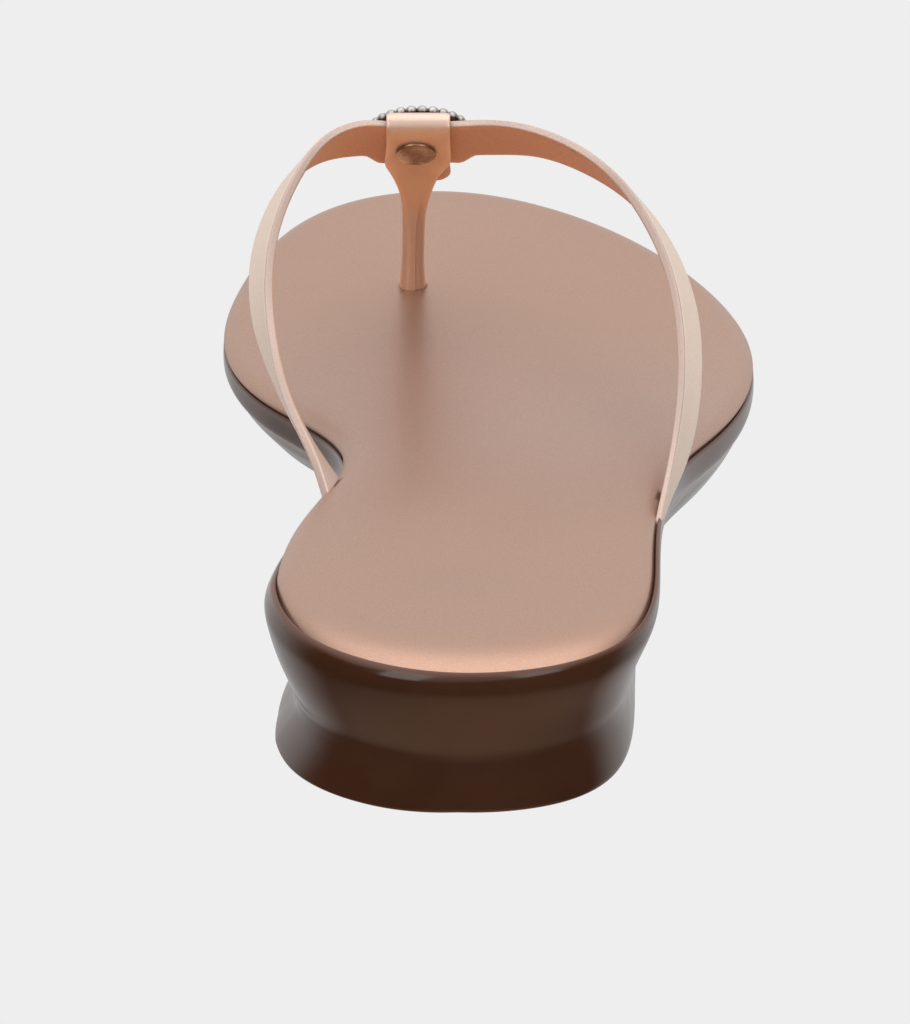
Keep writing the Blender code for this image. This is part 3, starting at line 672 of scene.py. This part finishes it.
strap_paint, tree, shader = new_paint("strap_leather", STRAP_METALLIC)
grain = grouped(tree, leather_grain, Pebble_Scale=2100.0, Fleck_Scale=4200.0)
depth = marked(tree, "layer")
champagne = tinted(tree, grain["Fleck"], CHAMPAGNE, CHAMPAGNE_PALE)
# The shoulder beside the groove is painted paler, as a highlight.
champagne = tinted(tree, math(tree, "MULTIPLY", marked(tree, "rim_highlight"), RIM_HIGHLIGHT_SHARE), champagne, RIM_HIGHLIGHT_PALE)
lining = tinted(tree, grain["Fleck"], LINING, LINING_PALE)
lining = tinted(tree, marked(tree, "near_end"), lining, LINING_END)
edging = tinted(tree, grain["Fleck"], EDGING, EDGING_PALE)
layers = tinted(tree, ranged(tree, depth, *LINING_SEAM), lining, edging)
layers = tinted(tree, ranged(tree, depth, *OUTER_SEAM), layers, champagne)
layers = tinted(tree, math(tree, "MULTIPLY", marked(tree, "groove"), GROOVE_SHARE), layers, GROOVE_BROWN)
tree.links.new(layers, shader.inputs["Base Color"])
tree.links.new(ranged(tree, grain["Fleck"], 0.0, 1.0, *STRAP_ROUGHNESS), shader.inputs["Roughness"])
bumped(tree, shader, grain["Height"], strength=0.15, distance=0.0001)

rings, marks = strap_surface()
strap = make_piece("strap_band", *tube(rings), strap_paint, CRISP_EDGE, **marks)
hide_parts("strap")


# Toe post. A strip of copper leather rolled into a post that comes up through the insole, flattens into a
# tab and folds forward over the strap's apex. The fold is closed by the rivet.
TAB_THICKNESS = 1.1
POST_SINK = 6.8
LAYER = STRAP_THICKNESS / 2.0 + GAP + TAB_THICKNESS / 2.0
STRAP_TOP = 4.9
HALF_FOLD = LAYER * 0.71
POST_STATIONS = 320
POST_SIDES = 72
LAP_STEP = 0.13
LAP_DEGREES = 280.0
LAP_FULL, LAP_END = 22.0, 27.5
LAP_SHADE = 0.3
# A paler tone on the rubbed post, and a painted highlight along the tab's trimmed edges.
POST_RUB = 0.4
TRIM_HIGHLIGHT, TRIM_POWER = 0.4, 40
# A painted highlight on the fold's top, fading down from it.
FOLD_TOP, FOLD_FADE = 42.4, 0.5
COPPER, COPPER_PALE = (0.87, 0.450, 0.225), (0.95, 0.525, 0.285)
COPPER_CLOUD, COPPER_CLOUD_SHARE = (0.93, 0.55, 0.33), 0.35
# Painted shade on the rolled post's side under the lap.
LAP_PAINTED_SHADE, LAP_SHARE = (0.42, 0.170, 0.095), 0.6
# Painted highlight on the fold's top and the tab's edges, and the paler tone of the rubbed post.
HIGHLIGHT_AND_RUB_PALE = (0.78, 0.550, 0.450)
POST_METALLIC, POST_ROUGHNESS = 0.35, (0.36, 0.28)

# Columns: across, along, height, width, thickness, exponent of the section.
POST = np.array([
    (-8.5, 195.6, 10.5 - POST_SINK, 4.2, 4.0, 2.2),
    (-8.5, 195.6, 10.5, 4.2, 4.0, 2.2),
    (-8.5, 195.5, 13.0, 3.8, 3.7, 2.2),
    (-8.4, 194.9, 18.5, 3.6, 3.4, 2.2),
    (-8.3, 193.6, 23.0, 3.8, 3.0, 2.3),
    (-8.1, 191.6, 27.3, 5.0, 2.3, 2.6),
])

# Columns: rise along the strap's width from its apex, out towards the toes, across, width, exponent.
TAB = np.array([
    (-7.2, -LAYER, -0.6, 8.2, 3.5),
    (-4.6, -LAYER, -0.4, 10.0, 5.0),
    (0.0, -LAYER, -0.2, 10.2, 6.0),
    (STRAP_TOP, -LAYER, -0.2, 10.0, 6.0),
    (STRAP_TOP + HALF_FOLD, -HALF_FOLD, -0.2, 10.0, 6.0),
    (STRAP_TOP + LAYER, 0.0, -0.2, 10.0, 6.0),
    (STRAP_TOP + HALF_FOLD, HALF_FOLD, -0.2, 10.0, 6.0),
    (STRAP_TOP, LAYER, -0.2, 10.0, 6.0),
    (0.0, LAYER, -0.1, 10.0, 6.0),
    (-3.5, LAYER, 0.0, 10.0, 6.0),
    (-6.6, LAYER, 0.1, 10.0, 6.0),
    (-9.2, LAYER * 0.4, 0.2, 9.2, 5.0),
    (-10.8, -LAYER * 0.1, 0.3, 8.4, 5.0),
    (-11.4, -LAYER * 0.2, 0.3, 6.8, 4.0),
])
LEAN = np.radians(APEX_LEAN)
SIDEWAYS = np.array([1.0, 0.0, 0.0])
APEX_OUT = np.array([0.0, np.cos(LEAN), np.sin(LEAN)])
APEX_RISE = np.array([0.0, -np.sin(LEAN), np.cos(LEAN)])


def post_surface():
    """Post and tab: a section |w|^n + |d|^n = 1 carried up the post and round the fold, its width level.

    The rolled strip's radius grows by the lap's step once round, so its free edge stands out on the foot
    side. The marks are a painted highlight on the fold's top and along the tab's trimmed edges, a paler tone
    on the rubbed post, and painted shade on the side under the lap.
    """
    places = APEX + TAB[:, :1] * APEX_RISE + TAB[:, 1:2] * APEX_OUT + TAB[:, 2:3] * SIDEWAYS
    tab = np.column_stack([places, TAB[:, 3], np.full(len(TAB), TAB_THICKNESS), TAB[:, 4]])
    route, ahead = route_of(np.concatenate([POST, tab]), POST_STATIONS)
    ahead = unit(ahead * (0.0, 1.0, 1.0))
    through = np.cross(ahead, SIDEWAYS)
    angle = 2.0 * np.pi * (np.arange(POST_SIDES) + 0.5) / POST_SIDES
    power = 2.0 / route[:, 5:]
    round_share = (angle - np.radians(LAP_DEGREES)) / (2.0 * np.pi) % 1.0
    rolled = 1.0 - eased((route[:, 2:3] - LAP_FULL) / (LAP_END - LAP_FULL)) * (ahead[:, 2:] > 0.0)
    rolled = rolled * (np.arange(POST_STATIONS)[:, None] < POST_STATIONS // 2)
    lap = 1.0 + LAP_STEP * (round_share - 0.5) * rolled
    wide = lap * signed_power(np.cos(angle), power) * route[:, 3:4] / 2.0
    deep = lap * signed_power(np.sin(angle), power) * route[:, 4:5] / 2.0
    rings = route[:, None, :3] + wide[..., None] * SIDEWAYS + deep[..., None] * through[:, None]
    # A painted highlight on the fold's top and the tab's trimmed edges, and a paler tone on the rubbed post.
    highlight_and_rub = np.exp(-(np.maximum(FOLD_TOP - route[:, 2:3], 0.0) / FOLD_FADE) ** 2)
    trim_highlight = TRIM_HIGHLIGHT * (1.0 - rolled) * np.abs(np.cos(angle)) ** TRIM_POWER
    highlight_and_rub = np.maximum(highlight_and_rub, trim_highlight + POST_RUB * rolled)
    return rings, {"highlight_and_rub": highlight_and_rub, "under_lap_shade": rolled * (1.0 - eased(round_share / LAP_SHADE))}


post_paint, tree, shader = new_paint("copper_leather", POST_METALLIC)
grain = grouped(tree, leather_grain, Pebble_Scale=1900.0, Fleck_Scale=5200.0)
copper = tinted(tree, grain["Fleck"], COPPER, COPPER_PALE)
copper = tinted(tree, math(tree, "MULTIPLY", grain["Cloud"], COPPER_CLOUD_SHARE), copper, COPPER_CLOUD)
# Painted shade on the side under the lap, then the painted highlight and the post's paler tone.
copper = tinted(tree, math(tree, "MULTIPLY", marked(tree, "under_lap_shade"), LAP_SHARE), copper, LAP_PAINTED_SHADE)
copper = tinted(tree, marked(tree, "highlight_and_rub"), copper, HIGHLIGHT_AND_RUB_PALE)
tree.links.new(copper, shader.inputs["Base Color"])
tree.links.new(ranged(tree, grain["Fleck"], 0.0, 1.0, *POST_ROUGHNESS), shader.inputs["Roughness"])
bumped(tree, shader, grain["Height"], strength=0.14, distance=0.0001)

rings, marks = post_surface()
toe_post = make_piece("rolled_post", *tube(rings), post_paint, CRISP_EDGE, **marks)
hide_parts("toe_post")


# Rivet. A small cap pressed from brass sheet, domed and darkened by an aged finish.
# It is set through the folded tab and shows on its foot side.
RIVET_RADIUS = 3.2
RIVET_HEIGHT = 0.9
RIVET_RIM = 0.25
RIVET_RISE = 0.6
RIVET_ACROSS = -0.6
RIVET_SIDES = 72
RIVET_RINGS = 28
RIVET_TURN = 88.0
BRASS, BRASS_DARK = (0.54, 0.385, 0.26), (0.28, 0.170, 0.105)
BRASS_ROUGHNESS = (0.22, 0.42)
METAL = 1.0


def turned(radius, height, sides, across, rise, out):
    """A round piece on the apex: seat + radius (cos a sideways + sin a rise) + height out, ring by ring."""
    angle = 2.0 * np.pi * np.arange(sides) / sides
    spoke = np.cos(angle)[:, None] * SIDEWAYS + np.sin(angle)[:, None] * APEX_RISE
    seat = APEX + across * SIDEWAYS + rise * APEX_RISE + out * APEX_OUT
    return seat + radius[..., None] * spoke + height[..., None] * APEX_OUT


rivet_paint, tree, shader = new_paint("aged_brass", METAL)
smear = grouped(tree, handling, Scale=420.0)
brass = tinted(tree, smear["Smear"], BRASS, BRASS_DARK)
tree.links.new(brass, shader.inputs["Base Color"])
tree.links.new(ranged(tree, smear["Smear"], 0.0, 1.0, *BRASS_ROUGHNESS), shader.inputs["Roughness"])
bumped(tree, shader, smear["Ripple"], strength=0.3, distance=0.0001)

slope = np.linspace(0.0, np.radians(RIVET_TURN), RIVET_RINGS)
radius = np.append(RIVET_RADIUS, RIVET_RADIUS * np.cos(slope))
height = -np.append(0.0, RIVET_RIM + (RIVET_HEIGHT - RIVET_RIM) * np.sin(slope))
seat_out = LAYER + TAB_THICKNESS / 2.0 + GAP
spread = np.ones(RIVET_SIDES)
radius, height = np.outer(radius, spread), np.outer(height, spread)
rings = turned(radius, height, RIVET_SIDES, RIVET_ACROSS, RIVET_RISE, -seat_out)
rivet = make_piece("rivet_cap", *tube(rings), rivet_paint, CRISP_EDGE)
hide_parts("rivet")


# Ornament. A cast medallion in aged silver, fixed to the front of the tab: a ring of beads round a low dome.
# The finish is rubbed back on the beads and left dark in the hollows between them, and the beads'
# lower sides, towards the base, are painted dark as shade.
BEAD_COUNT = 29
BEAD_RADIUS, BEAD_NECK = 0.95, 0.4
BEAD_RING_RADIUS = 7.85
BEAD_HEIGHT = 0.9
BEAD_FROM, BEAD_TO, BEAD_ROWS = -65.0, 175.0, 26
ORNAMENT_RISE = -4.2
ORNAMENT_SHARP = 60.0
FACES_PER_BEAD = 16
UNDERSIDE = 50.0
SILVER, SILVER_DARK = (0.50, 0.48, 0.455), (0.37, 0.355, 0.33)
SILVER_ROUGHNESS = (0.34, 0.5)
# Dark brown as patina in the hollows between beads and as painted shade on the beads' lower sides.
PATINA_AND_SHADE_BROWN, HOLLOW_FADE = (0.085, 0.050, 0.033), (0.15, 0.6)
DOME_ROWS = 24
DOME = np.array([(5.9, 0.9), (5.2, 1.7), (3.4, 2.4), (1.5, 2.7), (0.05, 2.75)])


def ornament_surface():
    """A ring whose tube radius is sqrt(R^2 - s^2), s being the way round from the nearest bead, and a dome.

    It rises towards the toes, so its rings are handed on in reverse, which keeps its faces outward.
    """
    sides = BEAD_COUNT * FACES_PER_BEAD
    offset = (np.arange(sides) / FACES_PER_BEAD + 0.5) % 1.0 - 0.5
    way = offset * 2.0 * np.pi * BEAD_RING_RADIUS / BEAD_COUNT
    bead = np.sqrt(np.maximum(BEAD_RADIUS ** 2 - way ** 2, (BEAD_NECK * BEAD_RADIUS) ** 2))
    around = np.radians(np.linspace(BEAD_FROM, BEAD_TO, BEAD_ROWS))[:, None]
    ring_radius = BEAD_RING_RADIUS + bead * np.cos(around)
    ring_height = BEAD_HEIGHT + bead * np.sin(around)
    steps = np.append(0.0, np.cumsum(np.linalg.norm(np.diff(DOME, axis=0), axis=1)))
    dome = curve_through(steps, DOME, np.linspace(0.0, steps[-1], DOME_ROWS))
    flat = np.ones((1, sides))
    radius = np.concatenate([flat * (BEAD_RING_RADIUS - BEAD_RADIUS / 2.0), ring_radius, dome[:, :1] * flat])
    height = np.concatenate([flat * 0.0, ring_height, dome[:, 1:] * flat])
    # The beads' lower sides are painted dark as shade; the necks between the beads are dark as patina.
    under = 1.0 - eased((around + np.radians(UNDERSIDE)) / np.radians(UNDERSIDE))
    dark = np.maximum(1.0 - bead / BEAD_RADIUS, under)
    hollow = np.concatenate([flat, dark, np.zeros((len(dome), sides))])
    return turned(radius, height, sides, 0.0, ORNAMENT_RISE, seat_out)[:, ::-1], hollow[:, ::-1]


silver_paint, tree, shader = new_paint("aged_silver", METAL)
smear = grouped(tree, handling, Scale=300.0)
silver = tinted(tree, smear["Smear"], SILVER, SILVER_DARK)
# Patina between the beads and painted shade on their lower sides.
silver = tinted(tree, ranged(tree, marked(tree, "hollow"), *HOLLOW_FADE), silver, PATINA_AND_SHADE_BROWN)
tree.links.new(silver, shader.inputs["Base Color"])
tree.links.new(ranged(tree, smear["Smear"], 0.0, 1.0, *SILVER_ROUGHNESS), shader.inputs["Roughness"])
bumped(tree, shader, smear["Ripple"], strength=0.35, distance=0.00015)

rings, hollow = ornament_surface()
ornament = make_piece("beaded_medallion", *tube(rings), silver_paint, ORNAMENT_SHARP, hollow=hollow)
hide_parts("ornament")
